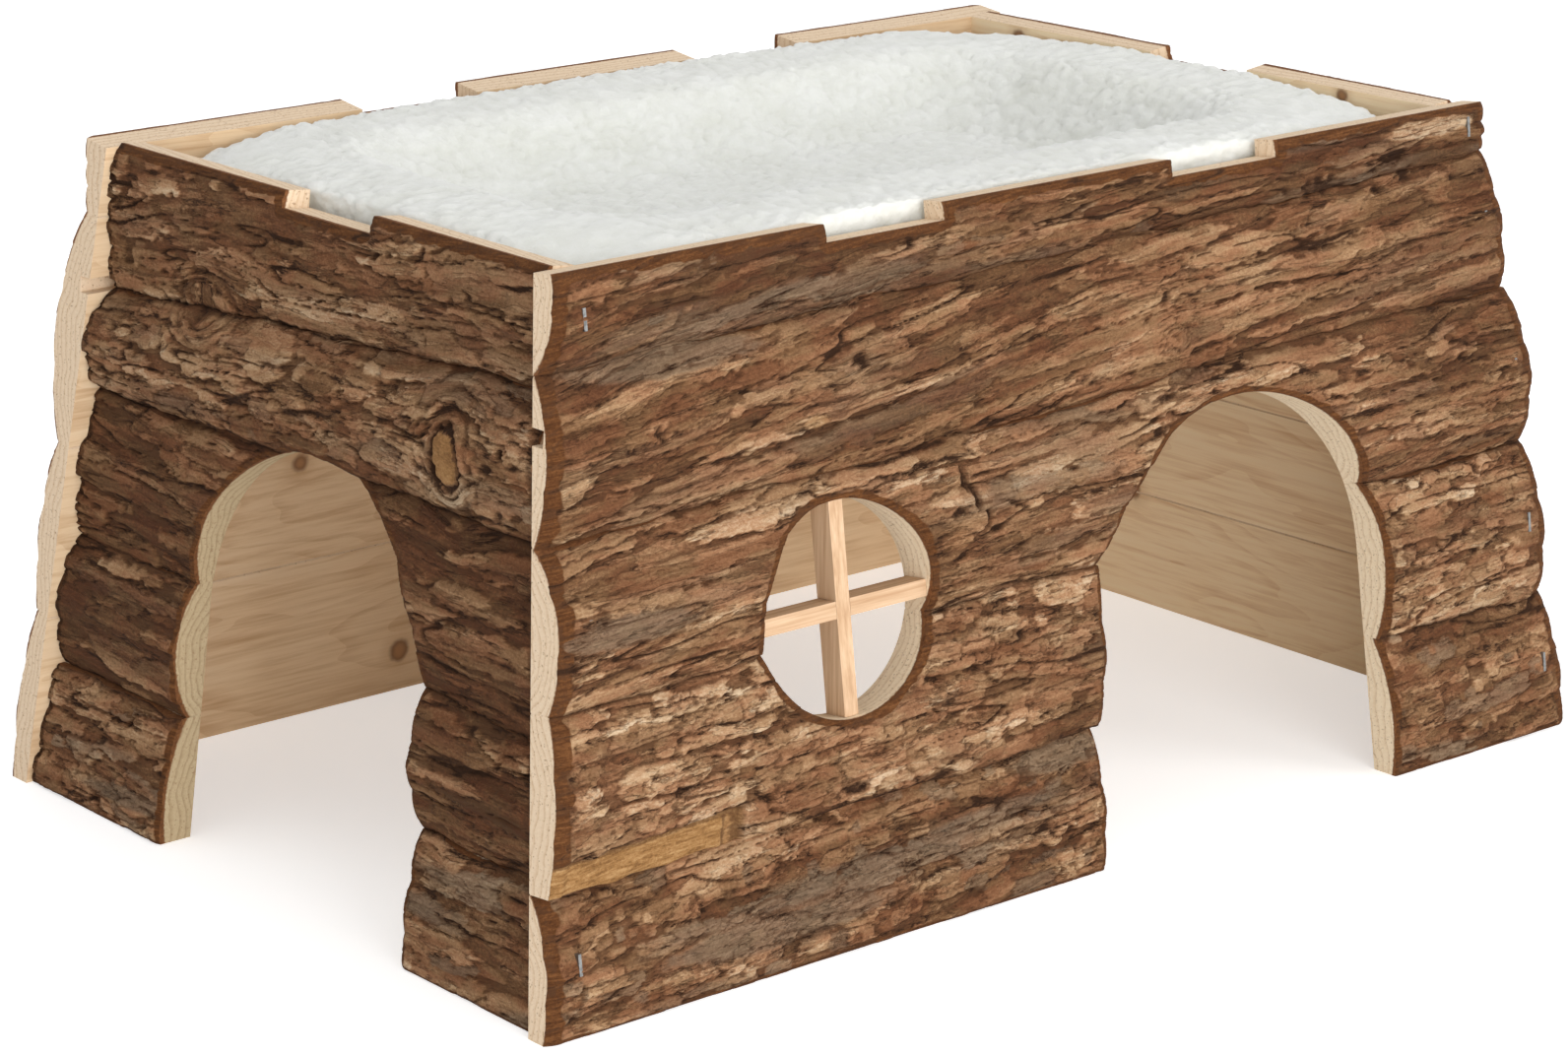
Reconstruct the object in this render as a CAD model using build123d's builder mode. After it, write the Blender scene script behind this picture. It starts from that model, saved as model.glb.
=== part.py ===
from build123d import *
import os
from math import cos, radians, sin, tan

# Guinea pig house of half-round slab boards with the bark on, open below, with a plush bed on its roof.
# Origin at the middle of the base, X along the front wall, front wall towards -Y, Z up, millimetres.

# House
base_length = 400.0
base_depth = 275.4
house_height = 198.0
wall_lean = 7.0  # degrees, every wall leans in

# Slab boards
slab_thickness = 12.4  # at the crown of a full slab
wall_seat = 10.4  # from a long wall's inner face, at the floor, out to the base's edge
end_wall_seat = 13.2  # from a short wall's inner face, at the floor, out to the base's edge
overrun = 6.0  # how far cutters and rough slabs run past what they meet

# Each wall's joints, from the floor up, as shares of its height at its left and right end seen from outside
front_joint_shares = ((0.190, 0.215), (0.426, 0.458), (0.638, 0.711), (0.857, 0.918))
left_joint_shares = ((0.190, 0.186), (0.398, 0.375), (0.614, 0.632), (0.768, 0.838))
rear_joint_shares = ((0.262, 0.265), (0.498, 0.535), (0.850, 0.890))
right_joint_shares = ((0.214, 0.198), (0.421, 0.409), (0.640, 0.652), (0.852, 0.836))

# Thickness of each slab from the floor up, at its wall's left and right end seen from outside: at its
# lower edge, its crown and its upper edge, as shares of slab_thickness
front_slab_shares = (
    ((0.52, 0.80, 0.22), (0.63, 0.95, 0.53)),
    ((0.84, 1.06, 0.80), (0.53, 1.06, 0.56)),
    ((0.80, 1.10, 0.25), (0.56, 1.30, 0.68)),
    ((0.25, 0.63, 0.21), (0.68, 0.98, 0.55)),
    ((0.21, 0.78, 0.75), (0.55, 0.78, 0.80)),
)
left_slab_shares = (
    ((0.80, 0.95, 0.55), (0.74, 0.91, 0.50)),
    ((0.55, 0.97, 0.45), (0.50, 1.08, 0.74)),
    ((0.45, 0.80, 0.45), (0.74, 1.00, 0.50)),
    ((0.45, 1.08, 0.42), (0.50, 1.10, 0.42)),
    ((0.42, 0.84, 0.75), (0.42, 0.84, 0.72)),
)
rear_slab_shares = (
    ((0.62, 0.95, 0.55), (0.66, 0.97, 0.62)),
    ((0.55, 1.00, 0.56), (0.62, 1.02, 0.65)),
    ((0.56, 1.16, 0.60), (0.65, 1.42, 0.65)),
    ((0.60, 0.86, 0.95), (0.65, 0.90, 1.05)),
)
right_slab_shares = (
    ((0.64, 0.94, 0.52), (0.66, 0.96, 0.48)),
    ((0.52, 0.90, 0.50), (0.48, 0.95, 0.52)),
    ((0.50, 0.98, 0.56), (0.52, 1.04, 0.50)),
    ((0.56, 0.96, 0.48), (0.50, 0.92, 0.50)),
    ((0.48, 0.82, 0.72), (0.50, 0.84, 0.72)),
)

# Two long furrows in the bark of each slab from the floor up: each one's place at the slab's left and
# right end, as shares of the way round the slab's back from its upper edge
furrow_shares = (
    ((0.36, 0.33), (0.63, 0.68)),
    ((0.33, 0.38), (0.68, 0.70)),
    ((0.30, 0.36), (0.65, 0.69)),
    ((0.37, 0.32), (0.67, 0.63)),
    ((0.34, 0.39), (0.69, 0.66)),
)
furrow_depth = 1.1

# Strip that split off the lower edge of the second front slab: its reach up the slope, and how far out from
# the wall's inner face it split along its lower and upper edge, first at the left end and then at its own end
chip_length = 68.5
chip_rises = (8.4, 10.0)
chip_low_outs = (8.7, 7.6)
chip_high_outs = (10.2, 10.0)

# Entrances, both cut by one template
arch_radius = 58.5
arch_crown_gap = 9.3  # from the arch up the slope to the third joint of the front wall
arch_foot_spread = 2.5  # how far each foot of the arch stands outside its radius
front_arch_offset = 61.0  # from the wall's middle, towards its right end
left_arch_offset = 5.0  # from the wall's middle, towards the front

# Window
window_radius = 30.0
window_offset = 90.0  # from the wall's middle, towards its left end
window_crown_gap = 7.3  # from the window up the slope to the third joint of the front wall
bar_width = 4.8
bar_depth = 7.8
bar_inset = 1.2  # from the wall's inner face to the back of the bars
bar_fit = 0.1

# Battlements
notch_width = 43.0
notch_depth = 5.0
long_wall_notch_offset = 64.5
short_wall_notch_offset = 4.0  # towards the front

# Roof board and the grooves that carry it
bed_recess = 40.7  # from the top of the walls down to the board
board_thickness = 4.5
groove_depth = 4.7
groove_fit = 0.2
board_end_gap = 0.3

# Staples through the long walls into the ends of the short walls
staple_wire = 1.0
staple_crown = 6.0
staple_leg = 21.0
staple_set = 4.0  # from a short wall's inner face out to the middle of the staple
staple_proud = 0.3
staple_fit = 0.05

# Bed
bed_gap = 1.2  # to the walls at the top, where the opening is smallest
bed_seat_gap = 0.3
bed_height = 38.0
bed_rim_share = 0.61  # of the bed's half depth, from its outside to the flat of its hollow
bed_corner_share = 0.255  # of the bed's half depth
bed_side_draw = 2.0  # how far each side pulls in between its corners
bed_outer_shares = ((0.0, 0.11), (0.26, 0.02), (0.58, 0.0), (0.86, 0.10), (1.0, 0.29))
bed_hollow_shares = ((1.05, 0.40), (0.82, 0.62), (0.56, 0.82), (0.40, 1.0))  # height, then inset

# Worked out
lean_cos = cos(radians(wall_lean))
lean_sin = sin(radians(wall_lean))
lean_tan = tan(radians(wall_lean))
slope_height = house_height / lean_cos
top_ends = [
    end
    for slab_shares in (front_slab_shares, left_slab_shares, rear_slab_shares, right_slab_shares)
    for end in slab_shares[-1]
]
thickest_top = max(top_share for _, _, top_share in top_ends) * slab_thickness
wall_rise = (house_height - thickest_top * lean_sin) / lean_cos  # up the slope to the top, cut square to it
inner_foot_x = base_length / 2 - end_wall_seat
inner_foot_y = base_depth / 2 - wall_seat
top_inset_x = inner_foot_x - house_height * lean_tan
top_inset_y = inner_foot_y - house_height * lean_tan
board_top = house_height - bed_recess
board_height = board_top - board_thickness
groove_half_span = inner_foot_y - (board_height + board_thickness / 2) * lean_tan + groove_depth

front_wall = Plane((0, -inner_foot_y, 0), x_dir=(1, 0, 0), z_dir=(0, -lean_cos, lean_sin))
rear_wall = Plane((0, inner_foot_y, 0), x_dir=(-1, 0, 0), z_dir=(0, lean_cos, lean_sin))
left_wall = Plane((-inner_foot_x, 0, 0), x_dir=(0, -1, 0), z_dir=(-lean_cos, 0, lean_sin))
right_wall = Plane((inner_foot_x, 0, 0), x_dir=(0, 1, 0), z_dir=(lean_cos, 0, lean_sin))
left_end = Plane((-base_length / 2, 0, 0), z_dir=(-lean_cos, 0, lean_sin))
right_end = Plane((base_length / 2, 0, 0), z_dir=(lean_cos, 0, lean_sin))
floor = Plane((0, 0, 0), z_dir=(0, 0, -1))

os.makedirs("parts", exist_ok=True)


def front_joint(joint, along):
    """How far up the slope of the front wall one of its joints lies, at one place along the wall."""
    left_share, right_share = front_joint_shares[joint]
    across_share = along / base_length + 1 / 2
    return (left_share + (right_share - left_share) * across_share) * slope_height


arch_spring = front_joint(2, front_arch_offset) - arch_crown_gap - arch_radius
window_rise = front_joint(2, -window_offset) - window_crown_gap - window_radius


def save(piece, name):
    """Label one finished piece and write it."""
    piece.part.label = name
    export_step(piece.part, f"parts/{name}.step")


def section_plane(wall, along):
    """Plane across a wall at one place along it: X up the slope, Y out."""
    return Plane(wall.from_local_coords((along, 0, 0)), x_dir=wall.y_dir, z_dir=wall.x_dir)


def slab_end(wall, along, low, high, low_edge, crown, high_edge, furrows):
    """Section of one slab across its wall: flat inside, round outside, with two furrows."""
    with BuildSketch(section_plane(wall, along)) as section:
        with BuildLine():
            top, foot = (high, high_edge), (low, low_edge)
            middle = ((low + high) / 2, crown)
            back = ThreePointArc(top, middle, foot, mode=Mode.PRIVATE)
            upper, lower = (back @ share - Vector(0, furrow_depth) for share in furrows)
            Polyline(foot, (low, 0), (high, 0), top)
            ThreePointArc(top, back @ (furrows[0] / 2), upper)
            ThreePointArc(upper, middle, lower)
            ThreePointArc(lower, back @ ((furrows[1] + 1) / 2), foot)
        make_face()
    return section.sketch


def rough_slab(wall, row, joint_shares, slab_shares, half_length):
    """One slab of a wall, counted from the floor, from joint to joint and past both ends."""
    lows = ((-overrun / slope_height,) * 2, *joint_shares)
    highs = (*joint_shares, (wall_rise / slope_height,) * 2)
    ends = []
    for side, along in enumerate((-half_length, half_length)):
        low_edge, crown, high_edge = (share * slab_thickness for share in slab_shares[row][side])
        furrows = [furrow[side] for furrow in furrow_shares[row]]
        low, high = (shares[row][side] * slope_height for shares in (lows, highs))
        ends.append(slab_end(wall, along, low, high, low_edge, crown, high_edge, furrows))
    loft(ends, ruled=True)


def cut_chip():
    """Flat where a strip split off the lower edge of the second front slab."""
    far_out = 2 * slab_thickness
    ends = []
    for side, along in enumerate((-base_length / 2, chip_length - base_length / 2)):
        low = front_joint(0, along)
        high = low + chip_rises[side]
        split_face = ((low, chip_low_outs[side]), (high, chip_high_outs[side]))
        with BuildSketch(section_plane(front_wall, along)) as end:
            with BuildLine():
                Polyline(*split_face, (high, far_out), (low, far_out), close=True)
            make_face()
        ends.append(end.sketch)
    loft(ends, ruled=True, mode=Mode.SUBTRACT)


def cut_arch(wall, offset):
    """Entrance: straight sides that spread towards the floor, under a half circle."""
    foot = arch_radius + arch_foot_spread
    with BuildSketch(wall) as arch:
        with BuildLine():
            ThreePointArc(
                (offset - arch_radius, arch_spring),
                (offset, arch_spring + arch_radius),
                (offset + arch_radius, arch_spring),
            )
            Polyline(
                (offset + arch_radius, arch_spring),
                (offset + foot, 0),
                (offset + foot, -overrun),
                (offset - foot, -overrun),
                (offset - foot, 0),
                (offset - arch_radius, arch_spring),
            )
        make_face()
    extrude(arch.sketch, amount=2 * slab_thickness, both=True, mode=Mode.SUBTRACT)


def cut_window():
    """Round window in the front wall."""
    with BuildSketch(front_wall) as window:
        with Locations((-window_offset, window_rise)):
            Circle(window_radius)
    extrude(window.sketch, amount=2 * slab_thickness, both=True, mode=Mode.SUBTRACT)


def cut_notches(wall, offsets):
    """Battlements: gaps in the top edge of a wall."""
    with BuildSketch(wall) as notches:
        with Locations(*[(offset, wall_rise - notch_depth) for offset in offsets]):
            Rectangle(notch_width, notch_depth + overrun, align=(Align.CENTER, Align.MIN))
    extrude(notches.sketch, amount=2 * slab_thickness, both=True, mode=Mode.SUBTRACT)


def cut_groove():
    """Groove along the inside of a long wall, open at both ends, for the edge of the roof board."""
    with Locations((0, 0, board_height)):
        Box(
            base_length,
            2 * groove_half_span,
            board_thickness + groove_fit,
            align=(Align.CENTER, Align.CENTER, Align.MIN),
            mode=Mode.SUBTRACT,
        )


def staple_places(joint_shares, slab_shares, sides):
    """Where each staple's crown sits on its wall, one at the middle of each slab at the given ends."""
    edges = ((0, 0), *joint_shares, (1, 1))
    places = []
    for row, ends in enumerate(slab_shares):
        for side in sides:
            end = 0 if side < 0 else 1
            rise = (edges[row][end] + edges[row + 1][end]) / 2 * slope_height
            along = side * (inner_foot_x + staple_set - rise * lean_sin)
            left_share, right_share = (crown_share for _, crown_share, _ in ends)
            crown_share = left_share + (right_share - left_share) * (along / base_length + 1 / 2)
            places.append((along, rise, crown_share * slab_thickness + staple_proud))
    return places


def staple_bodies(wall, places, room, mode):
    """Staples at places on a wall, crown upright, or the room that they need."""
    leg_gap = (staple_crown - staple_wire) / 2
    for rise, tall, deep in (
        (0, staple_crown, staple_wire),
        (leg_gap, staple_wire, staple_leg),
        (-leg_gap, staple_wire, staple_leg),
    ):
        corners = [wall.location * Pos(along, middle + rise, out) for along, middle, out in places]
        with Locations(*corners):
            Box(
                staple_wire + 2 * room,
                tall + 2 * room,
                deep + room,
                align=(Align.CENTER, Align.CENTER, Align.MAX),
                mode=mode,
            )


def trim(planes):
    """Keep what lies behind each plane."""
    for plane in planes:
        split(bisect_by=plane, keep=Keep.BOTTOM)


long_notches = (-long_wall_notch_offset, long_wall_notch_offset)

# Front wall: the arch parts its two lowest slabs, and the window bites into the second and third
front_arch_middle = Plane(front_wall.from_local_coords((front_arch_offset, 0, 0)), z_dir=(1, 0, 0))
front_staple_places = staple_places(front_joint_shares, front_slab_shares, (-1, 1))
front_pieces = (
    ("front_slab_1_left", 0, (front_arch_middle,)),
    ("front_slab_1_right", 0, (-front_arch_middle,)),
    ("front_slab_2_left", 1, (front_arch_middle,)),
    ("front_slab_2_right", 1, (-front_arch_middle,)),
    ("front_slab_3", 2, ()),
    ("front_slab_4", 3, ()),
    ("front_slab_5", 4, ()),
)
for name, row, halves in front_pieces:
    with BuildPart() as front_slab:
        rough_slab(front_wall, row, front_joint_shares, front_slab_shares, base_length / 2)
        trim((left_end, right_end, floor, *halves))
        cut_arch(front_wall, front_arch_offset)
        cut_window()
        cut_groove()
        cut_notches(front_wall, long_notches)
        staple_bodies(front_wall, front_staple_places, staple_fit, Mode.SUBTRACT)
        if name == "front_slab_2_left":
            cut_chip()
    save(front_slab, name)

# Rear wall: whole slabs
rear_staple_places = staple_places(rear_joint_shares, rear_slab_shares, (-1, 1))
for row in range(len(rear_slab_shares)):
    with BuildPart() as rear_slab:
        rough_slab(rear_wall, row, rear_joint_shares, rear_slab_shares, base_length / 2)
        trim((left_end, right_end, floor))
        cut_groove()
        cut_notches(rear_wall, long_notches)
        staple_bodies(rear_wall, rear_staple_places, staple_fit, Mode.SUBTRACT)
    save(rear_slab, f"rear_slab_{row + 1}")

# Left wall: held between the long walls, with the arch parting its three lowest slabs
left_arch_middle = Plane(left_wall.from_local_coords((left_arch_offset, 0, 0)), z_dir=(0, -1, 0))
left_pieces = (
    ("left_slab_1_rear", 0, (left_arch_middle,)),
    ("left_slab_1_front", 0, (-left_arch_middle,)),
    ("left_slab_2_rear", 1, (left_arch_middle,)),
    ("left_slab_2_front", 1, (-left_arch_middle,)),
    ("left_slab_3_rear", 2, (left_arch_middle,)),
    ("left_slab_3_front", 2, (-left_arch_middle,)),
    ("left_slab_4", 3, ()),
    ("left_slab_5", 4, ()),
)
for name, row, halves in left_pieces:
    with BuildPart() as left_slab:
        rough_slab(left_wall, row, left_joint_shares, left_slab_shares, base_depth / 2)
        trim((front_wall, rear_wall, floor, *halves))
        cut_arch(left_wall, left_arch_offset)
        cut_notches(left_wall, (short_wall_notch_offset,))
        staple_bodies(front_wall, front_staple_places, staple_fit, Mode.SUBTRACT)
        staple_bodies(rear_wall, rear_staple_places, staple_fit, Mode.SUBTRACT)
    save(left_slab, name)

# Right wall: whole slabs between the long walls
for row in range(len(right_slab_shares)):
    with BuildPart() as right_slab:
        rough_slab(right_wall, row, right_joint_shares, right_slab_shares, base_depth / 2)
        trim((front_wall, rear_wall, floor))
        cut_notches(right_wall, (-short_wall_notch_offset,))
        staple_bodies(front_wall, front_staple_places, staple_fit, Mode.SUBTRACT)
        staple_bodies(rear_wall, rear_staple_places, staple_fit, Mode.SUBTRACT)
    save(right_slab, f"right_slab_{row + 1}")

# Staples
with BuildPart() as front_staples:
    staple_bodies(front_wall, front_staple_places, 0, Mode.ADD)
save(front_staples, "front_staples")

with BuildPart() as rear_staples:
    staple_bodies(rear_wall, rear_staple_places, 0, Mode.ADD)
save(rear_staples, "rear_staples")

# Window cross: both laths fill the round hole and are halved where they cross
bar_plane = front_wall.offset(bar_inset)
bar_length = 2 * (window_radius + overrun)
lap_depth = bar_depth / 2

with BuildPart() as window_bar_vertical:
    with BuildSketch(bar_plane):
        with Locations((-window_offset, window_rise)):
            Circle(window_radius - bar_fit)
            Rectangle(bar_width, bar_length, mode=Mode.INTERSECT)
    extrude(amount=bar_depth)
    with BuildSketch(bar_plane):
        with Locations((-window_offset, window_rise)):
            Rectangle(bar_width + overrun, bar_width + 2 * bar_fit)
    extrude(amount=lap_depth + bar_fit, mode=Mode.SUBTRACT)
save(window_bar_vertical, "window_bar_vertical")

with BuildPart() as window_bar_horizontal:
    with BuildSketch(bar_plane):
        with Locations((-window_offset, window_rise)):
            Circle(window_radius - bar_fit)
            Rectangle(bar_length, bar_width, mode=Mode.INTERSECT)
    extrude(amount=bar_depth)
    with BuildSketch(bar_plane.offset(lap_depth)):
        with Locations((-window_offset, window_rise)):
            Rectangle(bar_width + 2 * bar_fit, bar_width + overrun)
    extrude(amount=bar_depth, mode=Mode.SUBTRACT)
save(window_bar_horizontal, "window_bar_horizontal")

# Roof board: its long edges lie in the grooves, its ends stop short of the leaning short walls
board_half_length = inner_foot_x - board_top * lean_tan - board_end_gap
with BuildPart() as roof_board:
    with BuildSketch(Plane.XY.offset(board_height)):
        Rectangle(2 * board_half_length, 2 * (groove_half_span - groove_fit))
    extrude(amount=board_thickness)
save(roof_board, "roof_board")


def bed_outline(height_share, inset_share):
    """Plan of the bed at one height: four sides that pull in a little, round at the corners."""
    bed_half_depth = top_inset_y - bed_gap
    inset = inset_share * bed_rim_share * bed_half_depth
    half_x = top_inset_x - bed_gap - inset
    half_y = bed_half_depth - inset
    corners = [(half_x, half_y), (-half_x, half_y), (-half_x, -half_y), (half_x, -half_y)]
    middles = [
        (0, half_y - bed_side_draw),
        (-half_x + bed_side_draw, 0),
        (0, -half_y + bed_side_draw),
        (half_x - bed_side_draw, 0),
    ]
    with BuildSketch(Plane.XY.offset(board_top + bed_seat_gap + height_share * bed_height)) as outline:
        with BuildLine():
            for side, middle in enumerate(middles):
                ThreePointArc(corners[side], middle, corners[(side + 1) % len(corners)])
        make_face()
        fillet(outline.vertices(), bed_corner_share * bed_half_depth)
    return outline.sketch


# Plush bed: a swelling rim round a hollow
with BuildPart() as cushion:
    loft([bed_outline(*shares) for shares in bed_outer_shares])
    loft([bed_outline(*shares) for shares in bed_hollow_shares], mode=Mode.SUBTRACT)
save(cushion, "cushion")
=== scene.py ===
"""Looks of the guinea pig house: bark on its slabs, sawn and planed wood, staples and a plush bed."""

from itertools import product
from math import cos, pi, radians, sin, tan

import bmesh
import bpy
import numpy as np
from mathutils import Matrix, Vector, noise


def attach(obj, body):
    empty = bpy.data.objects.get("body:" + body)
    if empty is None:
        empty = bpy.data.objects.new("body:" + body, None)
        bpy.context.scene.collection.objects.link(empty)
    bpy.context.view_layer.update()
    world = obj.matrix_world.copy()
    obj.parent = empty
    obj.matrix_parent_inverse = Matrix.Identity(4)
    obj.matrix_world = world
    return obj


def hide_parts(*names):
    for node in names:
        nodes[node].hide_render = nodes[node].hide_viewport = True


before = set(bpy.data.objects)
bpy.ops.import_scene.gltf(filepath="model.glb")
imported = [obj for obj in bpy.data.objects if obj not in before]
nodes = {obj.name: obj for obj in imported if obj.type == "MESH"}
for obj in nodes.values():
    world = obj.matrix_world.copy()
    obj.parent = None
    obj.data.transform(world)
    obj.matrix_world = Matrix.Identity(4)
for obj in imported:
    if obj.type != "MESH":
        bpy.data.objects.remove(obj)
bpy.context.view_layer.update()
mm = 0.001

# Sizes of the house, as in part.py, in millimetres
base_length = 400.0
base_depth = 275.4
house_height = 198.0
lean = radians(7.0)
slab_thickness = 12.4
wall_seat = 10.4
end_wall_seat = 13.2
arch_radius = 58.5
arch_crown_gap = 9.3
arch_foot_spread = 2.5
front_arch_offset = 61.0
left_arch_offset = 5.0
window_radius = 30.0
window_offset = 90.0
window_crown_gap = 7.3
notch_width = 43.0
notch_depth = 5.0
long_wall_notch_offset = 64.5
short_wall_notch_offset = 4.0
bed_recess = 40.7
board_thickness = 4.5
groove_depth = 4.7
groove_fit = 0.2

# Each wall's joints, and its slabs' thickness at their lower edge, crown and upper edge, as in part.py
front_joint_shares = ((0.190, 0.215), (0.426, 0.458), (0.638, 0.711), (0.857, 0.918))
left_joint_shares = ((0.190, 0.186), (0.398, 0.375), (0.614, 0.632), (0.768, 0.838))
rear_joint_shares = ((0.262, 0.265), (0.498, 0.535), (0.850, 0.890))
right_joint_shares = ((0.214, 0.198), (0.421, 0.409), (0.640, 0.652), (0.852, 0.836))
front_slab_shares = (
    ((0.52, 0.80, 0.22), (0.63, 0.95, 0.53)),
    ((0.84, 1.06, 0.80), (0.53, 1.06, 0.56)),
    ((0.80, 1.10, 0.25), (0.56, 1.30, 0.68)),
    ((0.25, 0.63, 0.21), (0.68, 0.98, 0.55)),
    ((0.21, 0.78, 0.75), (0.55, 0.78, 0.80)),
)
left_slab_shares = (
    ((0.80, 0.95, 0.55), (0.74, 0.91, 0.50)),
    ((0.55, 0.97, 0.45), (0.50, 1.08, 0.74)),
    ((0.45, 0.80, 0.45), (0.74, 1.00, 0.50)),
    ((0.45, 1.08, 0.42), (0.50, 1.10, 0.42)),
    ((0.42, 0.84, 0.75), (0.42, 0.84, 0.72)),
)
rear_slab_shares = (
    ((0.62, 0.95, 0.55), (0.66, 0.97, 0.62)),
    ((0.55, 1.00, 0.56), (0.62, 1.02, 0.65)),
    ((0.56, 1.16, 0.60), (0.65, 1.42, 0.65)),
    ((0.60, 0.86, 0.95), (0.65, 0.90, 1.05)),
)
right_slab_shares = (
    ((0.64, 0.94, 0.52), (0.66, 0.96, 0.48)),
    ((0.52, 0.90, 0.50), (0.48, 0.95, 0.52)),
    ((0.50, 0.98, 0.56), (0.52, 1.04, 0.50)),
    ((0.56, 0.96, 0.48), (0.50, 0.92, 0.50)),
    ((0.48, 0.82, 0.72), (0.50, 0.84, 0.72)),
)

# Furrows of each slab, and the strip split off the second front slab, as in part.py; the strip broke
# across at a share of its length
furrow_shares = (
    ((0.36, 0.33), (0.63, 0.68)),
    ((0.33, 0.38), (0.68, 0.70)),
    ((0.30, 0.36), (0.65, 0.69)),
    ((0.37, 0.32), (0.67, 0.63)),
    ((0.34, 0.39), (0.69, 0.66)),
)
furrow_depth = 1.1
section_overrun = 6.0
chip_row = 1
chip_length = 68.5
chip_rises = (8.4, 10.0)
chip_low_outs = (8.7, 7.6)
chip_high_outs = (10.2, 10.0)
chip_break = 0.915
chip_seed = 77

# Worked out
slope_height = house_height / cos(lean)
slab_tables = (front_slab_shares, left_slab_shares, rear_slab_shares, right_slab_shares)
thickest_top = max(end[-1] for table in slab_tables for end in table[-1]) * slab_thickness
wall_rise = (house_height - thickest_top * sin(lean)) / cos(lean)
inner_foot_x = base_length / 2 - end_wall_seat
inner_foot_y = base_depth / 2 - wall_seat
board_height = house_height - bed_recess - board_thickness
groove_half_span = inner_foot_y - (board_height + board_thickness / 2) * tan(lean) + groove_depth


def third_joint(along):
    """How far up the slope of the front wall its third joint lies, at one place along the wall."""
    left_share, right_share = front_joint_shares[2]
    return (left_share + (right_share - left_share) * (along / base_length + 1 / 2)) * slope_height


arch_spring = third_joint(front_arch_offset) - arch_crown_gap - arch_radius
window_rise = third_joint(-window_offset) - window_crown_gap - window_radius


class Wall:
    """One leaning wall: its axes (along, up the slope, out), its slabs and its openings."""

    def __init__(self, name, foot, along, half, joints, slabs, habit, step, notches, arch=None, window=None):
        self.name, self.half, self.slabs, self.habit, self.step = name, half, slabs, habit, step
        self.joints = ((-section_overrun / slope_height,) * 2, *joints, (wall_rise / slope_height,) * 2)
        self.notches, self.arch, self.window = notches, arch, window
        self.u = Vector(along)
        out = self.u.cross(Vector((0, 0, 1)))
        self.v = -out * sin(lean) + Vector((0, 0, cos(lean)))
        self.w = self.u.cross(self.v)
        self.origin = out * foot
        self.long = half == base_length / 2
        self.axes = np.array([self.u, self.v, self.w])

    def world(self, u, v, w):
        """Points of the wall, as an array of metres."""
        local = np.stack(np.broadcast_arrays(u, v, w), -1)
        return (local @ self.axes + np.array(self.origin)) * mm

    def local(self, points):
        """(u, v, w) in millimetres of points in metres."""
        return (points / mm - np.array(self.origin)) @ self.axes.T

    def end_inset(self, v, w):
        """How far in from the raw end a wall is cut, at height v up the slope."""
        return (v * cos(lean) + w * sin(lean)) * tan(lean)


# Bark of each slab from the floor up: its fibres' slope at the slab's left and right end, its flakes'
# length and cover, how light and how grey it is, and how dark the joint above it is
front_habit = (
    (0.05, 0.05, 0.34, 1.0, -0.07, 0.80, 0.8),
    (0.02, 0.00, 0.30, 1.0, 0.10, 0.12, 0.7),
    (0.07, 0.00, 0.9, 0.9, 0.08, 0.35, 0.4),
    (0.11, 0.03, 1.0, 0.9, -0.13, 0.22, 0.3),
    (0.12, -0.04, 0.9, 0.8, -0.32, 0.55, 0.0),
)
left_habit = (
    (0.02, 0.02, 0.5, 0.8, 0.06, 0.95, 0.8),
    (0.0, 0.0, 0.9, 0.45, -0.36, 0.10, 0.8),
    (-0.02, -0.02, 0.9, 0.45, -0.36, 0.10, 0.8),
    (0.0, 0.0, 0.5, 0.9, 0.08, 0.40, 0.8),
    (-0.03, 0.05, 0.7, 0.7, 0.02, 0.15, 0.0),
)
rear_habit = (
    (0.0, 0.0, 0.36, 1.0, 0.0, 0.4, 0.8),
    (0.02, 0.02, 0.7, 0.9, -0.05, 0.3, 0.6),
    (-0.03, -0.03, 0.9, 0.9, 0.02, 0.2, 0.7),
    (0.02, 0.02, 0.8, 0.8, -0.10, 0.4, 0.0),
)
right_habit = (
    (0.02, 0.02, 0.4, 1.0, 0.0, 0.4, 0.8),
    (-0.02, -0.02, 0.9, 0.8, -0.10, 0.2, 0.6),
    (0.0, 0.0, 0.4, 1.0, 0.03, 0.3, 0.7),
    (0.03, 0.03, 0.8, 0.9, -0.05, 0.3, 0.7),
    (0.0, 0.0, 0.9, 0.7, -0.10, 0.2, 0.0),
)

# Spacing of the bark's points along and up a wall, finest where the photograph looks
front_step, left_step, far_step = (0.9, 0.5), (1.0, 0.6), (1.4, 0.9)
long_notches = (-long_wall_notch_offset, long_wall_notch_offset)
walls = (
    Wall("front", inner_foot_y, (1, 0, 0), base_length / 2, front_joint_shares, front_slab_shares,
         front_habit, front_step, long_notches, front_arch_offset, (-window_offset, window_rise)),
    Wall("left", inner_foot_x, (0, -1, 0), base_depth / 2, left_joint_shares, left_slab_shares,
         left_habit, left_step, (short_wall_notch_offset,), left_arch_offset),
    Wall("rear", inner_foot_y, (-1, 0, 0), base_length / 2, rear_joint_shares, rear_slab_shares,
         rear_habit, far_step, long_notches),
    Wall("right", inner_foot_x, (0, 1, 0), base_depth / 2, right_joint_shares, right_slab_shares,
         right_habit, far_step, (-short_wall_notch_offset,)),
)


# Noise


def smooth(x, low, high):
    t = np.clip((x - low) / (high - low), 0, 1)
    return t * t * (3 - 2 * t)


def bell(x):
    """A smooth bump: one at zero, and nearly nothing two away from it."""
    return np.exp(-(x**2))


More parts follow.
